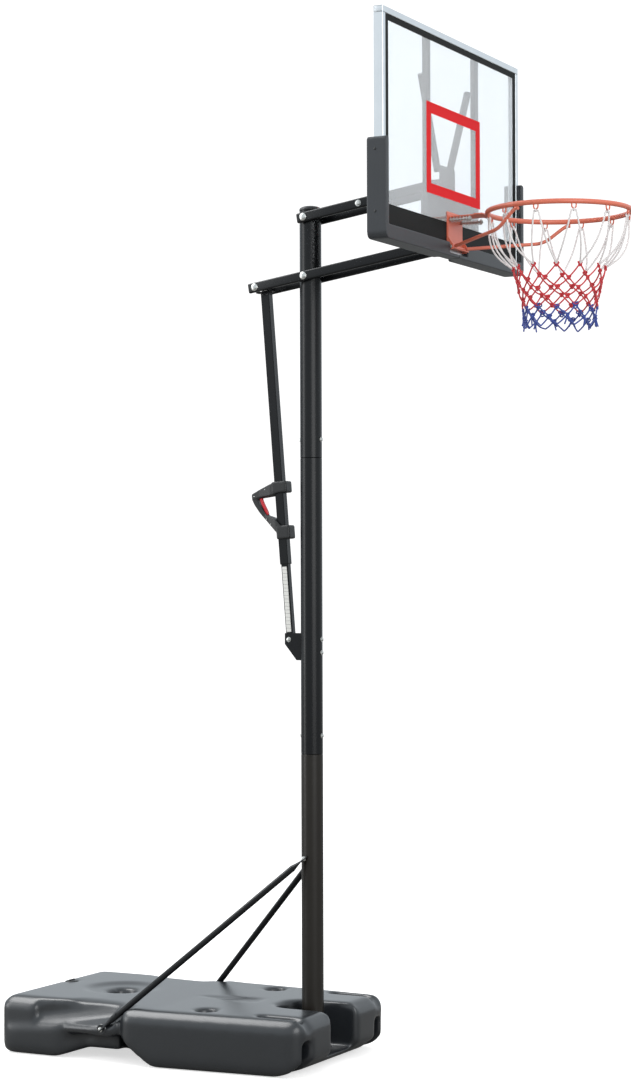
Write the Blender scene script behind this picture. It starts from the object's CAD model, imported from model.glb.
# %% [markdown]
# # An adjustable basketball stand
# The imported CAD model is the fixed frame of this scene: every piece made here sits where a CAD node
# says and rides on the same moving body. They bring the finishes, soft edges, hardware and the net.

import math
import random

import bmesh
import bpy
from mathutils import Matrix, Vector


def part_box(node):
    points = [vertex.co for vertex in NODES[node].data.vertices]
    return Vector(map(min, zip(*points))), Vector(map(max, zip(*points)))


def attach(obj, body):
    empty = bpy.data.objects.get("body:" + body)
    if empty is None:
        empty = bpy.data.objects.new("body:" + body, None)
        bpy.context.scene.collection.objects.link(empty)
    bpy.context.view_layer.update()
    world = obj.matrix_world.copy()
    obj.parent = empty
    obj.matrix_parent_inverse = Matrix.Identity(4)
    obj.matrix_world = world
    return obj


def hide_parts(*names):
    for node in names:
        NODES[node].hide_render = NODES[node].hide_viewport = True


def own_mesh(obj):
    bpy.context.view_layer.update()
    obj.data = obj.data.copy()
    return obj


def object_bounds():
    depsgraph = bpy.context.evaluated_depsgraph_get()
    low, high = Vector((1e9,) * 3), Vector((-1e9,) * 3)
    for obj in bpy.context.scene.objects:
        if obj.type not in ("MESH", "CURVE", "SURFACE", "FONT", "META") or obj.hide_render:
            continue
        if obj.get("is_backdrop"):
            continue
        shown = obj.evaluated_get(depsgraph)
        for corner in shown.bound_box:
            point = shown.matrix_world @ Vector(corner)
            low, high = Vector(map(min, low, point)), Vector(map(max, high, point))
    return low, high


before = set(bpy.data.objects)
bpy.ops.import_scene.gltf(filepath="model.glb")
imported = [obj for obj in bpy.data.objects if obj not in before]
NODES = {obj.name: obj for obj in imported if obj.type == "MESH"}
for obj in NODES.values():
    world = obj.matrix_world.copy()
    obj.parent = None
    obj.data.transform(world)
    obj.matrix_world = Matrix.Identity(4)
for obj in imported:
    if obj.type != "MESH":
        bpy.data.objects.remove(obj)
scene = bpy.context.scene
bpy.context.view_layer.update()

# %% [markdown]
# ## Colour and shader nodes
# Colours are written in sRGB hex, as picked on a screen. Shaders want linear light, so one function
# turns them. Another adds a shader node with all its inputs, be they values or other nodes' outputs.

# %% Helpers for materials
def linear(code):
    """An sRGB hex colour as linear RGBA."""
    parts = [int(code[at:at + 2], 16) / 255.0 for at in (1, 3, 5)]
    return [part / 12.92 if part <= 0.04045 else ((part + 0.055) / 1.055) ** 2.4 for part in parts] + [1.0]


def node(tree, kind, inputs=None, **settings):
    """Adds a shader node; each input is a value, or another node's output that is linked to it."""
    made = tree.nodes.new(kind)
    for key, value in settings.items():
        setattr(made, key, value)
    for socket, value in (inputs or {}).items():
        if isinstance(value, bpy.types.NodeSocket):
            tree.links.new(value, made.inputs[socket])
        else:
            made.inputs[socket].default_value = value
    return made


def mixed(tree, factor, first, second):
    """A mix of two colours, each a hex code or another node's output."""
    first, second = (linear(colour) if isinstance(colour, str) else colour for colour in (first, second))
    inputs = {0: factor, 6: first, 7: second}  # a Mix node keeps its two colours in sockets 6 and 7
    return node(tree, "ShaderNodeMix", inputs, data_type="RGBA").outputs[2]


def emptied(owner):
    """The node tree of a material or a world, cleared to be filled from nothing."""
    owner.use_nodes = True
    owner.node_tree.nodes.clear()
    return owner.node_tree


def found(tree, kind):
    """The first node of a kind."""
    return next(item for item in tree.nodes if item.type == kind)


print("linear value of a middle grey", round(linear("#808080")[0], 3))

# %% [markdown]
# ## One recipe for plain finishes
# Moulded plastic, powder coat and plated steel are close to one colour, but never exactly: it drifts
# over a hand's width, and the gloss changes with a fine grain. One function lays these down from real
# millimetres. Patterns read Object coordinates, in metres on the piece, and need no unwrapping.

# %% The plain finish
def finish(name, colour, shade, rough, grain_mm, depth_mm, patch_mm=90.0, spread=0.06, **shader):
    """A Principled finish with two close shades, a fine grain and a drifting gloss."""
    material = bpy.data.materials.new(name)
    tree = emptied(material)
    place = node(tree, "ShaderNodeTexCoord").outputs["Object"]
    patches, grain = (node(tree, "ShaderNodeTexNoise", {
        "Scale": 1000.0 / size_mm, "Detail": detail, "Vector": place,
    }).outputs["Fac"] for size_mm, detail in ((patch_mm, 3.0), (grain_mm, 2.0)))
    bump = node(tree, "ShaderNodeBump", {"Strength": 0.6, "Distance": depth_mm / 1000.0, "Height": grain})
    gloss = node(tree, "ShaderNodeMapRange",
                 {"To Min": rough - spread, "To Max": rough + spread, "Value": grain})
    surface = node(tree, "ShaderNodeBsdfPrincipled", {
        "Base Color": mixed(tree, patches, colour, shade), "Roughness": gloss.outputs["Result"],
        "Normal": bump.outputs["Normal"], "IOR": 1.50,  # unless the finish has its own
        **{key.replace("_", " "): value for key, value in shader.items()}})
    node(tree, "ShaderNodeOutputMaterial", {"Surface": surface.outputs["BSDF"]})
    return material


# Blow-moulded high-density polyethylene: the mould is grit-blasted so that air can escape, which
# leaves an even satin orange peel between one and two millimetres across.
TANK = finish("blow_moulded_hdpe_charcoal", "#1e2125", "#1a1d20", 0.30, 1.6, 0.05, IOR=1.60)
# Polyester powder coat on steel tube: baked on, with a soft satin peel 2 mm across.
BLACK_COAT = finish("black_powder_coat", "#0c0d0f", "#101214", 0.28, 2.2, 0.008, Specular_IOR_Level=0.25)
# The lowest pole section shows the same coat a little browner, from another batch.
WARM_COAT = finish("warm_black_powder_coat", "#1a1713", "#211e1a", 0.32, 2.2, 0.01, Specular_IOR_Level=0.32)
# Injection-moulded polypropylene and nylon with a spark-eroded texture, matt and slightly grey.
BLACK_NYLON = finish("black_glass_filled_nylon", "#161718", "#1d1e1f", 0.46, 0.9, 0.05, IOR=1.53,
                     Specular_IOR_Level=0.40)
PAD_PLASTIC = finish("grey_moulded_polypropylene", "#272a2e", "#2d3034", 0.44, 1.2, 0.05, IOR=1.49)
WHEEL_PLASTIC = finish("black_polyethylene_wheel", "#191a1a", "#222222", 0.55, 1.5, 0.10, IOR=1.54)
RED_ABS = finish("red_abs_trigger", "#c8202c", "#b81a26", 0.36, 0.9, 0.04, IOR=1.53)
# Bright zinc plate on the bolts, pins and springs: a metal with a faint cloud in its passivation.
ZINC = finish("bright_zinc_plate", "#cfcfca", "#b9bab8", 0.30, 1.1, 0.02, 14.0, Metallic=1.0)
# Aluminium extrusion, etched and anodised, which leaves a pale even satin.
ALUMINIUM = finish("anodised_aluminium_extrusion", "#d9dcde", "#cbcfd2", 0.34, 1.4, 0.02, 60.0,
                   Metallic=1.0)
# Orange polyester powder on the ring, its stays and its bracket.
ORANGE = finish("orange_powder_coat", "#d8765e", "#cf6b54", 0.36, 2.0, 0.05)
# Screen-printed ink on the acrylic, a thin matt film.
BLACK_INK = finish("black_screen_ink", "#10100f", "#131312", 0.60, 3.0, 0.01, Specular_IOR_Level=0.15)
RED_INK = finish("red_screen_ink", "#dd151e", "#d6121a", 0.60, 3.0, 0.01, Specular_IOR_Level=0.15)
print("plain finishes", len(bpy.data.materials))

# %% [markdown]
# ## Clear acrylic
# Wiping marks and dust leave a white veil on the board's cast acrylic, so black steel behind it reads
# as pale grey. A transmission below one keeps part of the white base colour as that veil.

# %% The acrylic finish
VEIL = 0.18
ACRYLIC = finish("clear_cast_acrylic", "#ffffff", "#fbfdff", 0.004, 40.0, 0.0, 300.0, 0.004,
                 IOR=1.49, Transmission_Weight=1.0 - VEIL)
print(ACRYLIC.name, "passes", 1.0 - VEIL, "of the light")

# %% [markdown]
# ## The height scale
# A vinyl label sits on the sliding tube. Only its tick marks are drawn: the height is counted in
# ticks, and the first tenth of each is inked.

# %% The printed scale
TICK_MM, TICK_PART = 12.7, 0.10
SCALE = finish("white_vinyl_scale", "#d2d3d0", "#c8c9c6", 0.45, 2.0, 0.01)
tree = SCALE.node_tree
colour = found(tree, "BSDF_PRINCIPLED").inputs["Base Color"]
plain = colour.links[0].from_socket
height = node(tree, "ShaderNodeSeparateXYZ", {"Vector": found(tree, "TEX_COORD").outputs["Object"]})
ticks = node(tree, "ShaderNodeMath", {0: height.outputs["Z"], 1: 1000.0 / TICK_MM}, operation="MULTIPLY")
part = node(tree, "ShaderNodeMath", {0: ticks.outputs[0]}, operation="FRACT")
line = node(tree, "ShaderNodeMath", {0: part.outputs[0], 1: TICK_PART}, operation="LESS_THAN")
tree.links.new(mixed(tree, line.outputs[0], plain, "#8a8b8b"), colour)
print("tick spacing", TICK_MM, "mm")

# %% [markdown]
# ## Braided cord
# The net is braided polyester, five to six millimetres thick. A braid shows as fine slanting ridges,
# so a wave texture that runs across the cord at a slant gives the bump.

# %% The net's cords
def braid(name, colour, shade):
    """A finish whose bump is a braid's ridges instead of a grain."""
    material = finish(name, colour, shade, 0.85, 2.0, 0.6, 12.0, IOR=1.48, Sheen_Weight=0.3)
    tree = material.node_tree
    place = found(tree, "TEX_COORD").outputs["Object"]
    ridges = node(tree, "ShaderNodeTexWave", {"Scale": 90.0, "Distortion": 3.0, "Vector": place},
                  wave_type="BANDS", bands_direction="DIAGONAL")
    tree.links.new(ridges.outputs["Fac"], found(tree, "BUMP").inputs["Height"])
    return material


WHITE_CORD = braid("white_braided_polyester", "#ebe8e8", "#d8d4d4")
RED_CORD = braid("red_braided_polyester", "#d2303a", "#b02830")
BLUE_CORD = braid("blue_braided_polyester", "#3a4f9f", "#2c3e86")
print("cords", WHITE_CORD.name, RED_CORD.name, BLUE_CORD.name)

# %% [markdown]
# ## World and floor
# The world is brighter to rays that look at it, straight, mirrored or through the acrylic, than to
# rays that gather light, so the background is white without pouring light on the stand. Mirrors see
# it faintly cool. The floor, too, is pale to the eye and greyer where it throws light back up.

# %% World and floor
def seen_by(tree, *kinds):
    """One where a ray of any of these kinds looks, else zero."""
    path = node(tree, "ShaderNodeLightPath")
    seen = path.outputs[kinds[0]]
    for kind in kinds[1:]:
        seen = node(tree, "ShaderNodeMath", {0: seen, 1: path.outputs[kind]}, operation="MAXIMUM").outputs[0]
    return seen


def placed(name, data):
    """A new object in the scene, for a mesh, a curve, a lamp or a camera."""
    obj = bpy.data.objects.new(name, data)
    scene.collection.objects.link(obj)
    return obj


def as_mesh(shape, name):
    """A bmesh written to a new mesh and freed."""
    mesh = bpy.data.meshes.new(name)
    shape.to_mesh(mesh)
    shape.free()
    return mesh


WORLD_FILL, WORLD_SEEN = 0.88, 1.15
world = bpy.data.worlds.new("studio")
tree = emptied(world)
seen = seen_by(tree, "Is Camera Ray", "Is Glossy Ray", "Is Transmission Ray")
strength = node(tree, "ShaderNodeMapRange", {"To Min": WORLD_FILL, "To Max": WORLD_SEEN, "Value": seen})
sky = node(tree, "ShaderNodeBackground",
           {"Color": mixed(tree, seen_by(tree, "Is Glossy Ray"), "#ffffff", "#eaf2f8"),
            "Strength": strength.outputs["Result"]})
node(tree, "ShaderNodeOutputWorld", {"Surface": sky.outputs["Background"]})
scene.world = world

FLOOR_SIZE, FLOOR_GLOW = 60.0, 0.62
FLOOR_DROP = 0.0005  # just under the tank's underside
material = bpy.data.materials.new("white_studio_floor")
tree = emptied(material)
seen = seen_by(tree, "Is Camera Ray", "Is Transmission Ray")
glow = node(tree, "ShaderNodeMath", {0: seen, 1: FLOOR_GLOW}, operation="MULTIPLY")
surface = node(tree, "ShaderNodeBsdfPrincipled", {
    "Base Color": mixed(tree, seen, "#8a8a88", "#dcdcdc"), "Roughness": 0.9,
    "Emission Color": linear("#ffffff"), "Emission Strength": glow.outputs[0]})
node(tree, "ShaderNodeOutputMaterial", {"Surface": surface.outputs["BSDF"]})
shape = bmesh.new()
bmesh.ops.create_grid(shape, x_segments=1, y_segments=1, size=FLOOR_SIZE / 2)
floor = placed("floor", as_mesh(shape, "floor"))
floor.data.transform(Matrix.Translation((0.0, 0.0, -FLOOR_DROP)))
floor.data.materials.append(material)
floor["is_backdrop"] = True
print("floor", FLOOR_SIZE, "m")

# %% [markdown]
# ## Camera
# The picture was taken with a long lens from the near side, a little below the grip. Its place,
# angles and focal length were fitted; the lens is shifted as well as tilted a little.

# %% Camera
AZIMUTH, PITCH, ROLL = math.radians(-63.0213), math.radians(0.605), math.radians(-0.1832)
EYE = (-7.764, -3.968, 1.641)
FOCAL_PIXELS, IMAGE_HEIGHT = 2511.17, 1079.0
HORIZON_DROP = 21.34  # pixels from the picture's centre down to the lens axis
lens = bpy.data.cameras.new("camera")
lens.sensor_fit = "AUTO"
lens.sensor_width = 36.0
lens.lens = FOCAL_PIXELS / IMAGE_HEIGHT * lens.sensor_width
lens.shift_y = HORIZON_DROP / IMAGE_HEIGHT
lens.clip_end = 200.0
camera = placed("camera", lens)
camera.matrix_world = (Matrix.Translation(EYE) @ Matrix.Rotation(AZIMUTH, 4, "Z")
                       @ Matrix.Rotation(math.pi / 2 + PITCH, 4, "X") @ Matrix.Rotation(ROLL, 4, "Z"))
scene.camera = camera
print("lens", round(lens.lens, 1), "mm")

# %% [markdown]
# ## Lamps
# One lamp overhead, behind the stand, lights the tops and the tank's rounded shoulders. A tall one
# draws the highlight down the pole, and a large one in front fills the board, pads and tank's side.

# %% Lamps
MIDDLE, TANK_TOP = Vector((0.0, 0.0, 1.7)), Vector((-0.2, 0.2, 0.6))
for name, place_at, aim, width, height, watts in (
        ("overhead_softbox", Vector((-1.2, 4.0, 6.5)), TANK_TOP, 3.4, 3.4, 290.0),
        ("left_softbox", Vector((-3.6, 5.2, 2.6)), MIDDLE, 2.2, 4.5, 120.0),
        ("front_softbox", Vector((-4.5, -6.0, 3.4)), MIDDLE, 5.0, 5.0, 260.0)):
    light = bpy.data.lights.new(name, "AREA")
    light.shape = "RECTANGLE"
    light.size, light.size_y, light.energy = width, height, watts
    holder = placed(name, light)
    holder.location = place_at
    holder.rotation_mode = "QUATERNION"
    holder.rotation_quaternion = (aim - place_at).to_track_quat("-Z", "Y")
scene.view_settings.view_transform = "Standard"
print("lamps", len(bpy.data.lights))

# %% [markdown]
# ## Helpers for shapes
# Each new piece is a bmesh that operators spin, extrude or bevel. A small part is joined into a larger
# one, and the finished mesh is named, smoothed, given its material and set on its body in one call.

# %% From bmesh to a finished piece
MERGE = 0.000005  # vertices closer than this are one
UP = Vector((0.0, 0.0, 1.0))
AXES = {"X": Matrix.Rotation(math.pi / 2, 4, "Y"), "Y": Matrix.Rotation(-math.pi / 2, 4, "X"),
        "Z": Matrix.Identity(4)}


def settle(name, mesh, body, material, nodes=(), sharp=38.0):
    """Gives a mesh its object, smooth shading, material and slot, and sets it on its body."""
    mesh.name = name
    mesh.shade_smooth()
    mesh.set_sharp_from_angle(angle=math.radians(sharp))
    mesh.materials.clear()
    mesh.materials.append(material)
    obj = placed(name, mesh)
    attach(obj, body)
    if nodes:
        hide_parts(*nodes)
    return obj


def clean(shape, name):
    """A mesh from a bmesh with its doubles merged and its normals outwards."""
    bmesh.ops.remove_doubles(shape, verts=shape.verts, dist=MERGE)
    bmesh.ops.recalc_face_normals(shape, faces=shape.faces)
    return as_mesh(shape, name)


def piece(name, shape, body, material, slot, *nodes, sharp=38.0):
    """A finished piece from a bmesh."""
    return settle(name, clean(shape, name), body, material, nodes, sharp)


def into(shape, part, matrix=Matrix.Identity(4)):
    """Adds a small bmesh to a larger one, moved into place."""
    mesh = clean(part, "part")
    mesh.transform(matrix)
    shape.from_mesh(mesh)
    bpy.data.meshes.remove(mesh)
    return shape


SIDES = (("near", -1), ("far", 1))


def rounded(shape, edges, radius, segments):
    """Rounds some edges of a bmesh."""
    bmesh.ops.bevel(shape, geom=edges, offset=radius, segments=segments, profile=0.5, affect="EDGES",
                    material=-1)


def block(low, high, radius=0.0, segments=3):
    """A box between two corners with its edges rounded."""
    shape = bmesh.new()
    size = [b - a for a, b in zip(low, high)]
    middle = [(a + b) / 2 for a, b in zip(low, high)]
    bmesh.ops.create_cube(shape, size=1.0, matrix=Matrix.Translation(middle) @ Matrix.Diagonal((*size, 1.0)))
    if radius:
        rounded(shape, shape.edges[:], radius, segments)
    return shape


def side_block(way, across, along, upright, radius=0.0, segments=3):
    """A block from its ranges of x, y and z on the far side, mirrored where way is -1."""
    left, right_end = sorted((way * across[0], way * across[1]))
    return block((left, along[0], upright[0]), (right_end, along[1], upright[1]), radius, segments)


def spun(shape, steps, turns=1, rise=0.0):
    """Spins all that a bmesh holds round Z; a rise at each step makes it a coil."""
    bmesh.ops.spin(shape, geom=shape.verts[:] + shape.edges[:] + shape.faces[:], cent=(0, 0, 0),
                   axis=(0, 0, 1), dvec=(0, 0, rise), angle=2 * math.pi * turns, steps=steps,
                   use_merge=not rise)
    return shape


def turned(profile, steps=48, closed=False):
    """(radius, height) points spun round Z."""
    shape = bmesh.new()
    verts = [shape.verts.new((radius, 0.0, height)) for radius, height in profile]
    for pair in zip(verts, verts[1:] + verts[:closed]):
        shape.edges.new(pair)
    return spun(shape, steps)


def rod_circle(middle, radius, sides, capped=False):
    """The end of a rod, a circle that stands on the X axis and looks along Y."""
    shape = bmesh.new()
    bmesh.ops.create_circle(shape, cap_ends=capped, segments=sides, radius=radius,
                            matrix=Matrix.Translation((middle, 0.0, 0.0)) @ AXES["Y"])
    return shape


def drum(foot, height, radius, top=None, sides=40):
    """A cylinder, or a cone with a radius of its own at the top, that stands on a point."""
    shape = bmesh.new()
    bmesh.ops.create_cone(shape, cap_ends=True, segments=sides, radius1=radius, radius2=top or radius,
                          depth=height, matrix=Matrix.Translation(Vector(foot) + UP * height / 2))
    return shape


def outwards(way, x, y, z):
    """Sets a turned shape at a point on one side, its Z looking away from the middle along X."""
    flip = Matrix.Rotation(0.0 if way > 0 else math.pi, 4, "X")
    return Matrix.Translation((way * x, y, z)) @ AXES["X"] @ flip


print("axes", sorted(AXES))

# %% [markdown]
# ## Keep what is right
# Many CAD nodes already have the real shape: the extrusions, the rails and the folded steel. They
# stay, and only their material changes. The frame's hollow ends are closed by small plugs.

# %% Finishes on the CAD nodes that stay
KEPT = {
    ALUMINIUM: ("frame_top", "frame_bottom", "frame_side_near", "frame_side_far"),
    ACRYLIC: ("backboard_acrylic",),
    BLACK_COAT: ("rail_near", "rail_far", "cross_channel", "board_bracket", "board_brace_near",
                 "board_brace_far", "strut_inner", "strut_outer", "pole_bracket"),
    ORANGE: ("rim_mount_plate", "rim_bracket"),
    ZINC: ("wheel_axle", "brake_rod"),
    SCALE: ("height_scale",),
}
for material, names in KEPT.items():
    for name in names:
        NODES[name].data.materials.clear()
        NODES[name].data.materials.append(material)
    print(material.name, "on", len(names), "nodes")

# %% Corner plugs in the frame's open ends
PLUG_X = (0.563 - 0.0054, 0.563 - 0.0003)  # inside the frame's outer face
PLUG_Y = (-0.5453, -0.5177)
PLUGS_Z = ((3.4745, 3.4923), (2.7627, 2.7805))
for side, way in SIDES:
    shape = bmesh.new()
    for heights in PLUGS_Z:
        into(shape, side_block(way, PLUG_X, PLUG_Y, heights, 0.0006, 2))
    piece("frame_corner_plugs_" + side, shape, "board", ALUMINIUM, "frame_aluminium")
print("corner plugs", len(SIDES) * len(PLUGS_Z))

# %% [markdown]
# ## Soft moulded shapes from hard ones
# The tank, the pads and the handle come out of moulds, so no edge is sharp. A copy of the CAD mesh is
# merged, cut where the real moulding has more relief, then remeshed in small cubes and relaxed, which
# melts every edge by about a cube.

# %% Copy, cut and melt
def copied(node_name):
    """A merged copy of a CAD node, as a new object."""
    shape = bmesh.new()
    shape.from_mesh(NODES[node_name].data)
    bmesh.ops.remove_doubles(shape, verts=shape.verts, dist=2 * MERGE)
    return placed(node_name + "_copy", as_mesh(shape, node_name + "_copy"))


def evaluated(obj):
    """The mesh that an object's modifiers, or a curve's thickness, make of it."""
    bpy.context.view_layer.update()
    return bpy.data.meshes.new_from_object(obj.evaluated_get(bpy.context.evaluated_depsgraph_get()))


def combined(obj, tool_shape, operation):
    """Joins a bmesh to an object, or takes it away."""
    bmesh.ops.recalc_face_normals(tool_shape, faces=tool_shape.faces)
    tool = placed("tool", as_mesh(tool_shape, "tool"))
    change = obj.modifiers.new("change", "BOOLEAN")
    change.operation = operation
    change.solver = "EXACT"
    change.object = tool
    mesh = evaluated(obj)
    obj.modifiers.clear()
    obj.data = mesh
    bpy.data.objects.remove(tool, do_unlink=True)


def cut(obj, cutter):
    """Takes a bmesh away from an object."""
    combined(obj, cutter, "DIFFERENCE")


def hull(points):
    """The smallest convex solid round some points."""
    shape = bmesh.new()
    for point in points:
        shape.verts.new(point)
    bmesh.ops.convex_hull(shape, input=shape.verts[:])
    return shape


def melted(obj, voxel, rounds):
    """Remeshes an object in small cubes and relaxes it; returns the mesh alone."""
    remesh = obj.modifiers.new("remesh", "REMESH")
    remesh.mode = "VOXEL"
    remesh.voxel_size = voxel
    relax = obj.modifiers.new("relax", "CORRECTIVE_SMOOTH")
    relax.factor = 0.5
    relax.iterations = rounds
    relax.use_only_smooth = True
    mesh = evaluated(obj)
    bpy.data.objects.remove(obj, do_unlink=True)
    return mesh


print("copies merge within", 2 * MERGE, "m")

# %% [markdown]
# ## The ballast tank
# The tank is one hollow blow moulding, filled with water. Behind the strut's foot its side is hollowed
# between a lip and a ledge that rises towards the foot. The upper edges are soft shoulders, the front
# block's lower rear corner is rounded off, and the top has two wells, a scoop behind the pole and a
# deep dish. Those are cut before the copy is melted. A rounded nose is joined on ahead of each wheel,
# and a round seat lies under each strut's foot.

# %% Tank measures, with x on the far side
TANK_VOXEL, TANK_ROUNDS = 0.0055, 24
SIDE_X, SIDE_STEP = 0.345, 0.006  # half the rear block's width; the step in above its ledge
BASE_FRONT, BASE_REAR = -0.125, 1.085
WHEEL_X, SEAT_X = 0.272, 0.3692
FOOT_Y, FOOT_Z = 0.632, 0.119  # the bolt through a base strut's foot
# The soft shoulder that is taken off the upper edges, as (outwards, height) from a side's foot line
SHOULDER = ((0.003, 0.160), (-0.040, 0.2025), (-0.040, 0.24), (0.06, 0.24), (0.06, 0.160))
FRONT_BLOCK = ((-0.15, 0.333), (0.585, 0.381))  # its half width, as (y, x), widens to the rear
# The rounded lower rear corner of the front block, as (y, height)
UNDERCUT = ((0.600, -0.02), (0.600, 0.100), (0.572, 0.100), (0.545, 0.048), (0.440, 0.0), (0.440, -0.02))
PANEL_FRONT, PANEL_REAR, SHELF_REAR = 0.598, 0.924, 0.800


def ledge_z(y):
    """Height of the ledge's edge, which rises from the rear towards the strut's foot."""
    return 0.092 + (1.05 - y) * 0.077


# The shelf that carries the strut's foot and runs back into the ledge
SHELF = ((0.25, PANEL_FRONT, 0.196), (0.25, PANEL_FRONT, 0.092), (0.25, SHELF_REAR, 0.196),
         (0.25, SHELF_REAR, 0.092), (0.285, PANEL_FRONT, 0.196), (0.296, SHELF_REAR, 0.192),
         (0.368, PANEL_FRONT, 0.130), (0.368, 0.668, 0.130), (0.368, PANEL_FRONT, 0.100),
         (0.368, 0.668, 0.100), (0.343, SHELF_REAR, ledge_z(SHELF_REAR)), (0.343, SHELF_REAR, 0.088))
# The hollow side above that shelf: its inner face, its floor, then corners well outside the tank
HOLLOW = ((0.288, PANEL_FRONT, 0.195), (0.322, PANEL_REAR, 0.184), (0.311, PANEL_FRONT, 0.158),
          (0.318, PANEL_REAR, 0.135), (0.3685, PANEL_FRONT, 0.131), (0.3685, 0.668, 0.131),
          (0.346, PANEL_REAR, ledge_z(PANEL_REAR)), (0.45, PANEL_FRONT, 0.131),
          (0.45, PANEL_REAR, ledge_z(PANEL_REAR)), (0.45, PANEL_FRONT, 0.26), (0.45, PANEL_REAR, 0.26),
          (0.288, PANEL_FRONT, 0.26), (0.322, PANEL_REAR, 0.26))
print("ledge rises", round(1000 * (ledge_z(PANEL_REAR) - ledge_z(BASE_REAR))), "mm")

# %% Tank relief
def side_hull(way, points):
    """A hull of points given on the far side, mirrored where way is -1."""
    return hull([(way * x, y, z) for x, y, z in points])


tank = copied("base_tank")
for _, way in SIDES:
    combined(tank, side_hull(way, SHELF), "UNION")
    cut(tank, side_block(way, (0.300, 0.42), (0.560, 0.752), (-0.01, 0.092)))
    cut(tank, side_hull(way, HOLLOW))
    cut(tank, side_hull(way, [(x, y, z) for y in (PANEL_REAR - 0.01, 1.150)
                              for x, z in ((SIDE_X - SIDE_STEP, ledge_z(y)), (0.40, ledge_z(y)),
                                           (0.40, 0.22), (SIDE_X - 0.010, 0.22))]))
    cut(tank, side_hull(way, [(x, y, z) for x in (0.24, 0.42) for y, z in UNDERCUT]))
    cut(tank, side_hull(way, [(wide + x, y, z) for y, wide in FRONT_BLOCK for x, z in SHOULDER]))
    cut(tank, side_hull(way, [(SIDE_X + x, y, z) for y in (0.80, 1.15) for x, z in SHOULDER]))
    cut(tank, side_hull(way, [(x, BASE_FRONT - out, z) for x in (0.10, 0.40) for out, z in SHOULDER]))
    cut(tank, drum((way * 0.252, 0.280, 0.150), 0.06, 0.036))
    nose = block((-0.030, -0.028, -0.035), (0.030, 0.028, 0.030), 0.022, 4)
    bmesh.ops.translate(nose, verts=nose.verts, vec=(way * WHEEL_X, -0.088, 0.150))
    combined(tank, nose, "UNION")
cut(tank, hull([(x, BASE_REAR + out, z) for x in (-0.40, 0.40) for out, z in SHOULDER]))
cut(tank, drum((0.0, 0.118, 0.140), 0.07, 0.080, 0.150, 48))
cut(tank, drum((-0.008, 0.768, 0.145), 0.08, 0.050))
tank_mesh = melted(tank, TANK_VOXEL, TANK_ROUNDS)
settle("moulded_tank", tank_mesh, "stand", TANK, ("base_tank",), 60.0)
for side, way in SIDES:
    seat = turned([(0.0, 0.0), (0.0165, 0.0), (0.0185, -0.002), (0.0200, -0.026), (0.0, -0.026)], 40)
    shape = into(bmesh.new(), seat, outwards(way, SEAT_X, FOOT_Y, FOOT_Z))
    piece("strut_seat_" + side, shape, "stand", TANK, "tank_plastic")
print("tank faces", len(tank_mesh.polygons))

# %% [markdown]
# ## Pads
# Moulded pads cover the board's lower corners, each with two grooves and two domed screws.

# %% Pads and their screws
PAD_X = 0.575
GROOVES_Y = ((-0.5420, -0.5390), (-0.5080, -0.5050))
GROOVE_X = (PAD_X - 0.0018, PAD_X + 0.01)
GROOVE_Z = (2.785, 3.10)
SCREW_Y, SCREWS_Z = -0.5250, (3.0353, 2.8364)
PAD_SCREW = ((0.0, 0.0016), (0.0030, 0.0014), (0.0046, 0.0006), (0.0050, -0.001), (0.0, -0.001))
for side, way in SIDES:
    pad = copied("pad_" + side)
    for across in GROOVES_Y:
        cut(pad, side_block(way, GROOVE_X, across, GROOVE_Z, 0.0008, 2))
    pad_mesh = melted(pad, 0.0022, 3)
    settle("moulded_pad_" + side, pad_mesh, "board", PAD_PLASTIC, ("pad_" + side,), 60.0)
    shape = bmesh.new()
    for z in SCREWS_Z:
        into(shape, turned(PAD_SCREW, 24), outwards(way, PAD_X, SCREW_Y, z))
    piece("pad_screws_" + side, shape, "board", BLACK_NYLON, "black_plastic")
    print("pad faces", len(pad_mesh.polygons))

# %% [markdown]
# ## Grip handle and trigger
# The grip is a loop of moulded nylon whose arms widen into clamps round the sliding tube. The widening
# is joined on as hulls between stations, then the ways for tube, trigger and brake rod are cut clear.

# %% Handle and trigger
# At each station: (y, lowest z, highest z, half width)
GRIP_ARMS = (((0.1165, 1.9720, 2.0105, 0.0247), (0.1500, 1.9620, 2.0030, 0.0238),
              (0.1990, 1.9560, 1.9830, 0.0150), (0.2250, 1.9500, 1.9700, 0.0130)),
             ((0.1080, 1.8230, 1.8560, 0.0247), (0.1300, 1.8360, 1.8790, 0.0238),
              (0.1520, 1.8570, 1.8880, 0.0190), (0.1750, 1.8790, 1.8960, 0.0135)))
STRUT_PIN_Y, STRUT_PIN_Z = 0.080, 1.460
STRUT_LEAN = 0.0771  # metres back for each metre up
STRUT_WAY = 0.0163  # half the outer tube's width and the slide's clearance
TRIGGER_HALF = 0.0068
TRIGGER_SLOT = ((0.1925, 1.9500), (0.1935, 1.9778), (0.2090, 1.9778), (0.2110, 1.9680), (0.2070, 1.9480))
ROD_CLEAR = 0.0008
SCREWS = ((0.0140, 0.2180, 1.9600), (0.0196, 0.1730, 1.9830), (0.0196, 0.1660, 1.8800),
          (0.0200, 0.1500, 1.8620))
SMALL_SCREW = ((0.0, 0.0012), (0.0015, 0.0010), (0.0023, 0.0), (0.0023, -0.004), (0.0, -0.004))

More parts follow.
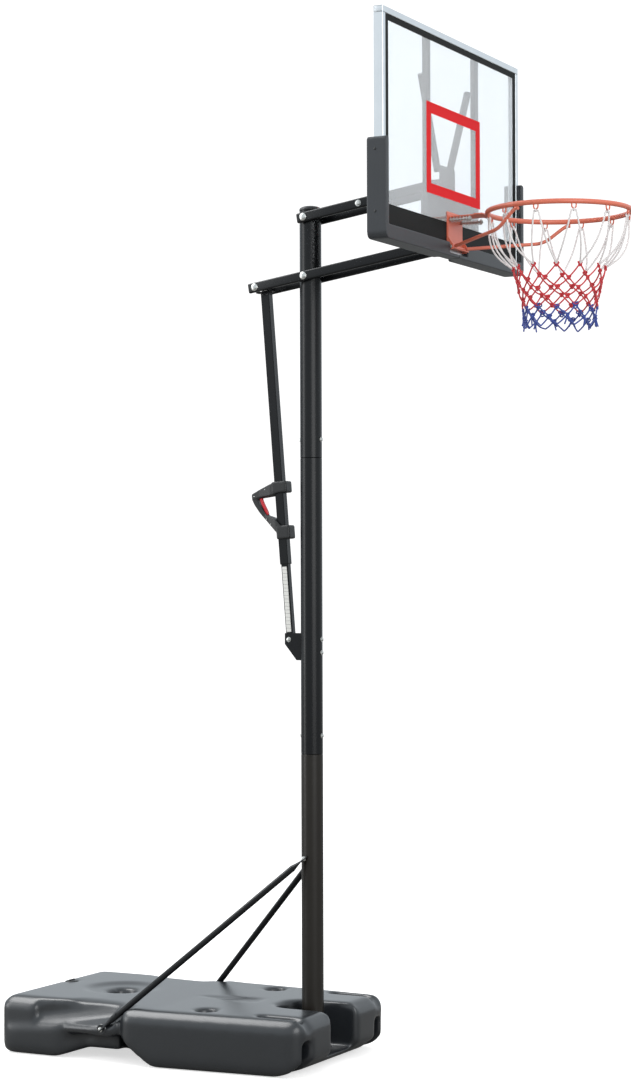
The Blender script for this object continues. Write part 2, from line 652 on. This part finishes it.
handle = copied("handle")
for stations in GRIP_ARMS:
    for pair in zip(stations, stations[1:]):
        combined(handle, hull([(x, y, z) for y, low, high, half in pair for x in (-half, half)
                               for z in (low, high)]), "UNION")
cut(handle, hull([(x, STRUT_PIN_Y + STRUT_LEAN * (z - STRUT_PIN_Z) + back, z) for z in (1.78, 2.05)
                  for x in (-STRUT_WAY, STRUT_WAY) for back in (-STRUT_WAY, STRUT_WAY)]))
cut(handle, hull([(x, y, z) for x in (-TRIGGER_HALF, TRIGGER_HALF) for y, z in TRIGGER_SLOT]))
rod_low, rod_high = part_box("brake_rod")
cut(handle, block([value - ROD_CLEAR for value in rod_low], [value + ROD_CLEAR for value in rod_high]))
handle_mesh = melted(handle, 0.0016, 6)
settle("moulded_handle", handle_mesh, "strut_slider", BLACK_NYLON, ("handle",), 60.0)
trigger_mesh = melted(copied("trigger"), 0.0009, 4)
settle("moulded_trigger", trigger_mesh, "trigger", RED_ABS, ("trigger",), 60.0)
shape = bmesh.new()
for x, y, z in SCREWS:
    for _, way in SIDES:
        into(shape, turned(SMALL_SCREW, 20), outwards(way, x, y, z))
piece("handle_screws", shape, "strut_slider", ZINC, "zinc_steel")
print("handle faces", len(handle_mesh.polygons), "trigger faces", len(trigger_mesh.polygons))

# %% [markdown]
# ## The pole
# Three steel tubes slide one into the next. Each is a wall profile spun round Z, its ends cut square
# with the burr taken off as a small chamfer. A moulded dome plugs the top.

# %% Pole tubes and cap
POLE_R, POLE_WALL, POLE_STEPS, EDGE = 0.038, 0.0025, 72, 0.0014
CAP_BASE, CAP_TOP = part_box("pole_upper")[1].z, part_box("pole_cap")[1].z
CAP_R, RIM_Z = POLE_R + 0.0006, CAP_BASE + 0.004  # the cap's straight rim ends here
PLUG_R, PLUG_DEEP = POLE_R - 0.004, 0.011

inner = POLE_R - POLE_WALL
for name, material, high in (("pole_lower", WARM_COAT, 1.063), ("pole_middle", BLACK_COAT, 2.090),
                             ("pole_upper", BLACK_COAT, CAP_BASE)):
    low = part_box(name)[0].z
    profile = [(inner, low), (POLE_R - EDGE, low), (POLE_R, low + EDGE), (POLE_R, high - EDGE),
               (POLE_R - EDGE, high), (inner, high)]
    piece(name + "_tube", turned(profile, POLE_STEPS, True), "stand", material, "black_steel", name)
    print(name, round(low, 3), round(high, 3))

dome = []
for angle in (math.radians(10.0 * step) for step in range(9)):
    dome.append((CAP_R * math.sin(angle), RIM_Z + (CAP_TOP - RIM_Z) * math.cos(angle)))
dome += [(CAP_R, RIM_Z), (CAP_R, CAP_BASE + 0.0004), (PLUG_R, CAP_BASE + 0.0003),
         (PLUG_R, CAP_BASE - PLUG_DEEP), (0.0, CAP_BASE - PLUG_DEEP)]
piece("pole_cap_dome", turned(dome, POLE_STEPS), "stand", BLACK_NYLON, "black_plastic", "pole_cap")

# %% [markdown]
# ## Bolts
# One function builds a bolt between two faces along an axis: a hexagon is a six-sided cylinder whose
# top edge is taken off, and washers and shank are turned. The arms' pivots have wide domed caps.

# %% Bolt builder, in bolt radii
HEX_R = 1.85  # centre to corner
HEAD_HIGH, NUT_HIGH = 0.9, 1.1
WASHER_R, WASHER_HOLE, WASHER_THICK = 2.2, 0.9, 0.25
# A domed cap's outline, in shares of its own radius and in washer thicknesses
DOME = ((1.0, 0.0), (1.0, 1.0), (0.8, 2.4), (0.45, 3.4), (0.0, 3.7))
THREAD_PAST = 1.9  # how far the shank reaches past the face under the nut


def hexagon(radius, height):
    """A six-sided head or nut that stands on its base."""
    shape = drum((0.0, 0.0, 0.0), height, radius, sides=6)
    rim = [edge for edge in shape.edges if all(vert.co.z > height * 0.9 for vert in edge.verts)]
    rounded(shape, rim, radius * 0.12, 2)
    return shape


def bolt(name, axis, at, ends, radius, body, dome_radius=0.0, nut=True):
    """A bolt along an axis through a point; its head sits outside the first end, its nut the other."""
    shape = bmesh.new()
    start, end = ends
    length = abs(end - start)
    base = Vector(at)
    base["XYZ".index(axis)] = start
    half_turn = Matrix.Rotation(math.pi, 4, "X")
    frame_at = Matrix.Translation(base) @ (AXES[axis] if end > start else AXES[axis] @ half_turn)
    flip = Matrix.Translation(UP * length) @ half_turn
    washer = radius * WASHER_THICK
    for number, matrix in enumerate((frame_at, frame_at @ flip)):
        if number and not nut:
            continue
        if dome_radius:
            rim = [(dome_radius * out, -washer * up) for out, up in DOME]
            into(shape, turned([(radius * WASHER_HOLE, 0.0)] + rim, 32), matrix)
            continue
        inner, outer = radius * WASHER_HOLE, radius * WASHER_R
        disc = [(inner, 0.0), (outer, 0.0), (outer, -washer), (inner, -washer)]
        into(shape, turned(disc, 32, True), matrix)
        height = radius * (NUT_HIGH if number else HEAD_HIGH)
        into(shape, hexagon(radius * HEX_R, height), matrix @ Matrix.Translation(-washer * UP) @ half_turn)
    reach = length + (radius * THREAD_PAST if nut and not dome_radius else 0.0)
    shank = [(0.0, 0.0), (radius * 0.97, 0.0), (radius * 0.97, reach - radius * 0.2),
             (radius * 0.75, reach), (0.0, reach)]
    into(shape, turned(shank, 20), frame_at)
    return piece(name + "_hardware", shape, body, ZINC, "zinc_steel", name)


print("hexagon across corners", 2 * HEX_R, "bolt radii")

# %% Every bolt and pin
JOINT_R, PIVOT_R, PIVOT_DOME = 0.004, 0.005, 0.0128
GAP = 0.0003  # between a bolt's washer and the face under it
POLE_FACE = POLE_R + GAP
BRACKET_STEEL = 0.0065
ARM_X = (0.0415, 0.0575)  # an arm's inner and outer face
ARM_FACE = ARM_X[1] + GAP
ARM_ANGLE = math.radians(8.7)
UPPER_Z, LOWER_Z = 2.922, 2.7185  # the arms' pivots at the pole
ARM_LENGTH = 0.480
LEVER, CROSS = 0.193, -0.215
TIE_Y, TIE_Z = 0.011, 0.704  # the bolt that holds both base struts to the pole
SPRING_X, SPRING_Z = 0.048, 2.8745
SPRING_BACK, SPRING_FRONT = -0.5502, -0.6222


def arm_point(pivot_z, along):
    """A point on an arm's centre line, measured back from the pole pivot."""
    return Vector((0.0, along * math.cos(ARM_ANGLE), pivot_z - along * math.sin(ARM_ANGLE)))


for name, axis, at, ends in (
        ("pole_bolt_lower", "Y", (0.0, 0.0, 1.127), (-POLE_FACE, POLE_FACE)),
        ("pole_bolt_upper", "Y", (0.0, 0.0, 2.154), (-POLE_FACE, POLE_FACE)),
        ("bracket_bolt_upper", "Y", (0.0, 0.0, 1.461), (-POLE_FACE, POLE_FACE + BRACKET_STEEL)),
        ("bracket_bolt_lower", "Y", (0.0, 0.0, 1.415), (-POLE_FACE, POLE_FACE + BRACKET_STEEL)),
        ("strut_foot_pin", "X", (0.0, STRUT_PIN_Y, STRUT_PIN_Z), (-0.0185, 0.0185)),
        ("strut_pole_bolt", "X", (0.0, TIE_Y, TIE_Z), (-0.0454, 0.0454))):
    bolt(name, axis, at, ends, JOINT_R, "stand")
for side, way in SIDES:
    bolt("strut_foot_bolt_" + side, "X", (0.0, FOOT_Y, FOOT_Z), (way * 0.3746, way * 0.3426), JOINT_R,
         "stand", nut=False)
for name, pivot_z, along, body in (("upper_pole_pivot", UPPER_Z, 0.0, "stand"),
                                   ("lower_pole_pivot", LOWER_Z, 0.0, "stand"),
                                   ("upper_board_pivot", UPPER_Z, -ARM_LENGTH, "board"),
                                   ("lower_board_pivot", LOWER_Z, -ARM_LENGTH, "board"),
                                   ("lever_bolt", LOWER_Z, LEVER, "lower_arms")):
    bolt(name, "X", arm_point(pivot_z, along), (-ARM_FACE, ARM_FACE), PIVOT_R, body, PIVOT_DOME)
bolt("arm_cross_bolt", "X", arm_point(UPPER_Z, CROSS), (-ARM_FACE, ARM_FACE), PIVOT_R, "upper_arms")
bolt("rim_hinge_pin", "X", (0.0, -0.557, 2.783), (-0.0628, 0.0628), JOINT_R, "board")
for side, way in SIDES:
    bolt("spring_bolt_" + side, "Y", (way * SPRING_X, 0.0, SPRING_Z), (-0.5193, SPRING_FRONT - GAP), 0.0045,
         "board")

# %% [markdown]
# ## Base struts
# Each strut is a round tube whose ends are pressed flat. A ring is extruded along its line with a
# width and depth of its own at each place, so the round tube flows into the flat tab.

# %% Struts with pressed ends
def swept(points, radius, sides=16, section=None):
    """A rod along points; section gives each ring's width and depth, in radii."""
    shape = bmesh.new()
    points = [Vector(point) for point in points]
    ways = [(after - before).normalized() for before, after in zip(points, points[1:])]
    ways = [ways[0]] + [(a + b).normalized() for a, b in zip(ways, ways[1:])] + [ways[-1]]
    turn = ways[0].to_track_quat("Z", "X").to_matrix().to_4x4()
    rings = [bmesh.ops.create_circle(shape, cap_ends=True, segments=sides, radius=radius)["verts"]]
    for _ in points[1:]:
        edges = {edge for vert in rings[-1] for edge in vert.link_edges
                 if edge.verts[0] in rings[-1] and edge.verts[1] in rings[-1]}
        made = bmesh.ops.extrude_edge_only(shape, edges=list(edges))["geom"]
        rings.append([item for item in made if isinstance(item, bmesh.types.BMVert)])
    for index, (ring, point) in enumerate(zip(rings, points)):
        if index:
            swing = ways[index - 1].rotation_difference(ways[index]).to_matrix().to_4x4()
            turn = swing @ turn
        wide, deep = section[index] if section else (1.0, 1.0)
        matrix = Matrix.Translation(point) @ turn @ Matrix.Diagonal((wide, deep, 1.0, 1.0))
        bmesh.ops.transform(shape, matrix=matrix, verts=ring)
    bmesh.ops.holes_fill(shape, edges=[edge for edge in shape.edges if edge.is_boundary], sides=sides)
    return shape


STRUT_R = 0.011
STRUT_BOW = 0.004  # the foot's end of the tube stands off the tank this far
TAB = (0.003 / STRUT_R, 1.22)
TIP = (TAB[0], TAB[1] * 0.72)
PRESSED, ROUND = (0.62, 1.14), (1.0, 1.0)
SECTIONS = (TIP, TAB, TAB, PRESSED, ROUND, ROUND, ROUND, PRESSED, TAB, TAB, TIP)

for side, way in SIDES:
    top = Vector((way * 0.0413, TIE_Y, TIE_Z))
    foot = Vector((way * 0.3713, FOOT_Y, FOOT_Z))
    line = (foot - top).normalized()
    out = Vector((way * STRUT_BOW, 0.0, 0.0))
    places = [top + line * along for along in (-0.011, -0.006, 0.018, 0.036, 0.052)]
    places.append(top.lerp(foot, 0.5) + out * 0.5)
    places += [foot - line * 0.052 + out, foot - line * 0.036 + out, foot - line * 0.018,
               foot + line * 0.006, foot + line * 0.011]
    name = "base_strut_" + side
    piece(name + "_tube", swept(places, STRUT_R, 28, SECTIONS), "stand", BLACK_COAT, "black_steel", name)
print("strut", round(1000 * (foot - top).length), "mm from bolt to bolt")

# %% [markdown]
# ## Lift arms
# Four rectangular tubes make the parallelogram. A block is bevelled along its length for the rolled
# corners of drawn tube, and its closed ends get a smaller rounding.

# %% Arms
ARM_HALF, ARM_CORNER, ARM_END = 0.017, 0.0056, 0.0035
FRONT_OVERHANG, REAR_OVERHANG = 0.022, 0.026

# Each arm is made level, its long edges and then its ends are rounded, and it is tilted to its pivot.
for side, way in SIDES:
    for level, pivot_z, rear in (("upper_arm", UPPER_Z, 0.0), ("lower_arm", LOWER_Z, LEVER)):
        along = (-ARM_LENGTH - FRONT_OVERHANG, rear + REAR_OVERHANG)
        tube = side_block(way, ARM_X, along, (-ARM_HALF, ARM_HALF))
        for least, most, radius, segments in ((0.1, 9.0, ARM_CORNER, 5), (-1.0, 1e-6, ARM_END, 3)):
            rounded(tube, [edge for edge in tube.edges
                           if least < abs(edge.verts[0].co.y - edge.verts[1].co.y) < most], radius, segments)
        tilt = Matrix.Translation(UP * pivot_z) @ Matrix.Rotation(-ARM_ANGLE, 4, "X")
        name = level + "_" + side
        piece(name + "_tube", into(bmesh.new(), tube, tilt), level + "s", BLACK_COAT, "black_steel", name)
print("arms", 2 * len(SIDES), "of", round(1000 * ARM_LENGTH), "mm between pivots")

# %% [markdown]
# ## The ring
# The rim is a 17 mm steel rod rolled into a circle: a small circle spun round the ring's axis. Twelve
# U-shaped hooks are welded under it for the net, and two bent stays run back to the bracket.

# %% Ring and hooks
RING_CENTRE = Vector((0.0, -0.9247, 2.8815))
RING_R, ROD_R = 0.237, 0.0085
HOOKS, HOOK_PHASE = 12, math.radians(3.0)
HOOK_R, HOOK_ROD = 0.0075, 0.0025
HOOK_SPREAD = HOOK_R / RING_R  # half a hook's width as an angle round the ring
HOOK_ROOT = RING_CENTRE.z - ROD_R + 0.004
HOOK_SHAPE = ((-1, 0.0), (-1, 0.0145), (0, 0.0200), (1, 0.0145), (1, 0.0))  # (side, drop)


def bent(corners, radius, steps=6):
    """A path of straight stretches whose inner corners are rounded."""
    corners = [Vector(corner) for corner in corners]
    path = [corners[0]]
    for before, here, after in zip(corners, corners[1:], corners[2:]):
        start, end = (here + (there - here).normalized() * min(radius, (there - here).length * 0.45)
                      for there in (before, after))
        for step in range(steps + 1):
            part = step / steps
            path.append(start.lerp(here, part).lerp(here.lerp(end, part), part))
    return path + [corners[-1]]


def ring_point(angle, radius=RING_R, z=RING_CENTRE.z):
    """A point round the ring's centre."""
    return Vector((radius * math.cos(angle), RING_CENTRE.y + radius * math.sin(angle), z))


def hook_angle(number):
    """Where a hook sits round the ring; half numbers lie between two hooks."""
    return HOOK_PHASE + 2 * math.pi * number / HOOKS


shape = spun(rod_circle(RING_R, ROD_R, 24), 128)
bmesh.ops.translate(shape, verts=shape.verts, vec=RING_CENTRE)
for number in range(HOOKS):
    corners = [ring_point(hook_angle(number) + end * HOOK_SPREAD, z=HOOK_ROOT - drop)
               for end, drop in HOOK_SHAPE]
    into(shape, swept(bent(corners, 0.009, 4), HOOK_ROD, 10))
piece("rolled_ring", shape, "rim", ORANGE, "orange_steel", "ring", sharp=50.0)
print("ring outside diameter", round(2000 * (RING_R + ROD_R)), "mm")

# %% Stays under the ring
STAY_R = 0.006
STAY_Z = RING_CENTRE.z - ROD_R - STAY_R
STAY_ANGLES = {-1: math.radians(164.0), 1: math.radians(16.0)}  # where each meets the ring
for side, way in SIDES:
    end = STAY_ANGLES[way]
    tip = ring_point(end, z=STAY_Z)
    tail = tip + (tip - ring_point(end + way * math.radians(8.0), z=STAY_Z)).normalized() * 0.016
    route = [(way * 0.046, -0.5706, 2.7858), (way * 0.200, -0.790, 2.809), tip, tail]
    name = "rim_brace_" + side
    rod = swept(bent(route, 0.030, 8), STAY_R)
    piece(name + "_rod", rod, "rim", ORANGE, "orange_steel", name, sharp=50.0)
print("stay", 2000 * STAY_R, "mm thick")

# %% [markdown]
# ## Springs
# A compression spring sits on each long bolt, behind the nut: a small circle spun with a step along
# the axis. It shortens towards its nut when the ring tips.

# %% Coil springs
COIL_R, WIRE_R = 0.0082, 0.0014
TURNS, STEPS = 6, 144
for side, way in SIDES:
    run = (SPRING_BACK - SPRING_FRONT) - 2 * WIRE_R - 2 * GAP
    shape = spun(rod_circle(COIL_R, WIRE_R, 10, True), STEPS, TURNS, run / STEPS)
    base = Vector((way * SPRING_X, SPRING_BACK - GAP - WIRE_R, SPRING_Z))
    shape = into(bmesh.new(), shape, Matrix.Translation(base) @ AXES["Y"] @ Matrix.Rotation(math.pi, 4, "X"))
    name = "spring_" + side
    coil = piece(name + "_coil", shape, "board", ZINC, "zinc_steel", name, sharp=60.0)
    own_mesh(coil)
print("spring length", round(1000 * (SPRING_BACK - SPRING_FRONT), 1), "mm")

# %% [markdown]
# ## Wheels and filler cap
# Both are turned: a wheel has a tread with two grooves, a recessed web and a hub; the cap has a domed
# top with a grip bar across it.

# %% Wheels and cap
WHEEL_R, WHEEL_HALF, WHEEL_Z = 0.050, 0.020, 0.053
wheel_profile = [(0.0066, WHEEL_HALF), (0.014, WHEEL_HALF), (0.016, WHEEL_HALF - 0.002), (0.017, 0.007),
                 (0.036, 0.0065), (0.039, WHEEL_HALF - 0.003), (0.0405, WHEEL_HALF), (0.0465, WHEEL_HALF),
                 (0.0492, WHEEL_HALF - 0.0018), (WHEEL_R, WHEEL_HALF - 0.005), (WHEEL_R, 0.0075),
                 (0.0488, 0.0065), (0.0488, 0.0045), (WHEEL_R, 0.0035)]
wheel_profile += [(radius, -height) for radius, height in reversed(wheel_profile)]
for side, way in SIDES:
    shape = into(bmesh.new(), turned(wheel_profile, 56, True),
                 Matrix.Translation((way * WHEEL_X, 0.0, WHEEL_Z)) @ AXES["X"])
    piece("moulded_wheel_" + side, shape, "wheel_" + side, WHEEL_PLASTIC, "wheel_plastic", "wheel_" + side)

CAP_AT = Vector((0.045, 1.015, 0.193))
cap_profile = [(0.0, 0.0118), (0.012, 0.0116), (0.020, 0.0105), (0.0245, 0.0075), (0.026, 0.004),
               (0.026, 0.0005), (0.019, 0.0005), (0.019, -0.022), (0.0, -0.022)]
shape = into(bmesh.new(), turned(cap_profile, 48), Matrix.Translation(CAP_AT))
into(shape, block((-0.018, -0.004, 0.008), (0.018, 0.004, 0.0158), 0.0022), Matrix.Translation(CAP_AT))
piece("turned_filler_cap", shape, "filler_cap", BLACK_NYLON, "black_plastic", "filler_cap")
print("wheel", 2000 * WHEEL_R, "mm across")

# %% [markdown]
# ## Ink on the board
# The border with its deep band along the bottom, and the target, are screen-printed. Each is four
# bars of ink round an open middle, a tenth of a millimetre thick.

# %% Printed lines
PRINT_Y, PRINT_FILM, PRINT_BACK = -0.5452, 0.0001, 0.00002  # the film starts just off the sheet


def printed_frame(name, half_width, low, high, sides, top, bottom, material, slot):
    """A rectangular line on the board's face; sides, top and bottom give its widths."""
    shape = bmesh.new()
    inner = half_width - sides
    for left, right, foot_z, head_z in (
            (-half_width, -inner, low, high), (inner, half_width, low, high),
            (-inner, inner, high - top, high), (-inner, inner, low, low + bottom)):
        into(shape, block((left, PRINT_Y - PRINT_FILM, foot_z), (right, PRINT_Y - PRINT_BACK, head_z)))
    return piece(name, shape, "board", material, slot)


printed_frame("printed_border", 0.5418, 2.782, 3.4738, 0.0248, 0.0205, 0.084, BLACK_INK, "black_plastic")
printed_frame("printed_target", 0.223, 2.945, 3.248, 0.037, 0.037, 0.034, RED_INK, "red_plastic")
print("film", 1000 * PRINT_FILM, "mm")

# %% [markdown]
# ## The net
# Braided cords hang from twelve hooks and are knotted into diamonds that draw in towards the bottom:
# slack white ones, then red, then blue, which end in loose tails. Each is a spline with a round bevel,
# which keeps its thickness, and each crossing gets a small knot, a three-lobed loop of cord.

# %% The net's plan
NET_TOP = 2.8555
DROPS = (0.0, 0.163, 0.207, 0.236, 0.267, 0.296, 0.328, 0.357)
RADII = (0.2345, 0.152, 0.142, 0.133, 0.126, 0.122, 0.121, 0.119)
WANDER = (0.0, 0.002, 0.003, 0.003, 0.004, 0.004, 0.006, 0.009)  # how far a row's crossings stray
RED_ROWS = 5  # crossings above this row are red, from it down they are blue
HOOK_LOOP = 0.0045  # radius of the white loop round a hook
dice = random.Random(7)
wandered = [[Vector([dice.uniform(-most, most) for _ in range(3)]) for _ in range(HOOKS)] for most in WANDER]


def net_point(row, column):
    """A crossing of the net, a little off its regular place."""
    angle = hook_angle(column + (0.5 if row % 2 else 0.0))
    return ring_point(angle, RADII[row], NET_TOP - DROPS[row]) + wandered[row][column % HOOKS]


def cord_run(start, end, bulge, sag, count=8):
    """A slack cord between two points, pushed outwards and down in its middle."""
    out = (start + end) / 2 - Vector((0.0, RING_CENTRE.y, 0.0))
    out.z = 0.0
    out.normalize()
    points = []
    for step in range(count + 1):
        part = step / count
        swell = math.sin(math.pi * part)
        points.append(start.lerp(end, part) + out * bulge * swell - UP * sag * swell)
    return points


def knot_path(at, size):
    """A three-lobed loop, as an overhand knot looks from outside."""
    out = (at - Vector((0.0, RING_CENTRE.y, at.z))).normalized()
    along = Vector((-out.y, out.x, 0.0))
    spin = dice.uniform(0.0, 2.0)
    points = []
    for step in range(15):
        t = 2 * math.pi * step / 15 + spin
        x = (math.sin(t) + 2 * math.sin(2 * t)) / 3
        z = (math.cos(t) - 2 * math.cos(2 * t)) / 3
        points.append(at + along * x * size + UP * z * size - out * math.sin(3 * t) * size * 0.4)
    return points


print("net", round(1000 * DROPS[-1]), "mm long")

# %% Cords and knots
# By colour: the range of a cord's bulge, the range of its sag, and the pieces it is drawn in
SLACK = {"white": ((0.012, 0.030), (0.002, 0.020), 12), "red": ((0.001, 0.004), (0.001, 0.005), 8),
         "blue": ((-0.002, 0.005), (0.0, 0.006), 8)}
CORD_RADII = {"white": 0.00306, "red": 0.002584, "blue": 0.00272}
STRAY = 0.03  # angle between a hook's middle and the start of a white cord
runs = {colour: [] for colour in SLACK}
knots = {colour: [] for colour in SLACK}
for row in range(len(DROPS) - 1):
    colour = "blue" if row >= RED_ROWS else "red" if row else "white"
    bulges, sags, count = SLACK[colour]
    for column in range(HOOKS):
        for lean in (-1, 1):
            start = net_point(row, column)
            if colour == "white":
                start = ring_point(hook_angle(column) + STRAY * lean, RADII[0], start.z)
            end = net_point(row + 1, column + ((lean + 1) // 2 if row % 2 else (lean - 1) // 2))
            runs[colour].append(cord_run(start, end, dice.uniform(*bulges), dice.uniform(*sags), count))
for row in range(1, len(DROPS) - 1):
    for column in range(HOOKS):
        if row < RED_ROWS:
            knots["red"].append(knot_path(net_point(row, column), dice.uniform(0.0072, 0.0088)))
        else:
            knots["blue"].append(knot_path(net_point(row, column), dice.choice((0.0060, 0.0085, 0.0125))))
for column in range(HOOKS):
    turns = [2 * math.pi * step / 12 for step in range(12)]
    knots["white"].append([ring_point(hook_angle(column), HOOK_LOOP * math.cos(turn) + RADII[0],
                                      NET_TOP + HOOK_LOOP * math.sin(turn)) for turn in turns])
for column in range(HOOKS):
    top = net_point(len(DROPS) - 2, column)
    for _ in range(2):
        loose = Vector([dice.uniform(-0.010, 0.010) for _ in range(2)] + [-dice.uniform(0.018, 0.034)])
        runs["blue"].append(cord_run(top, top + loose, dice.uniform(-0.003, 0.004), 0.0, 5))
print("cords", sum(map(len, runs.values())), "knots", len(knots["red"]) + len(knots["blue"]))

# %% Splines into meshes
for colour, material in (("white", WHITE_CORD), ("red", RED_CORD), ("blue", BLUE_CORD)):
    name = colour + "_net_cords"
    curve = bpy.data.curves.new(name, "CURVE")
    curve.dimensions = "3D"
    curve.bevel_depth = CORD_RADII[colour]
    curve.bevel_resolution = 2
    curve.use_fill_caps = True
    for closed, routes in ((False, runs[colour]), (True, knots[colour])):
        for route in routes:
            spline = curve.splines.new("POLY")
            spline.points.add(len(route) - 1)
            for point, where in zip(spline.points, route):
                point.co = (*where, 1.0)
            spline.use_cyclic_u = closed
    holder = placed(name + "_curve", curve)
    mesh = evaluated(holder)
    bpy.data.objects.remove(holder, do_unlink=True)
    settle(name, mesh, "rim", material, ("net",) if colour == "red" else (), 60.0)
    print(name, "faces", len(mesh.polygons))

# %% [markdown]
# ## Size
# The dressed stand has to fill the same box as the CAD model, so both boxes are written side by side.

# %% Compare and finish
low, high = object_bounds()
print("visual box in mm", [round(1000 * (b - a)) for a, b in zip(low, high)])
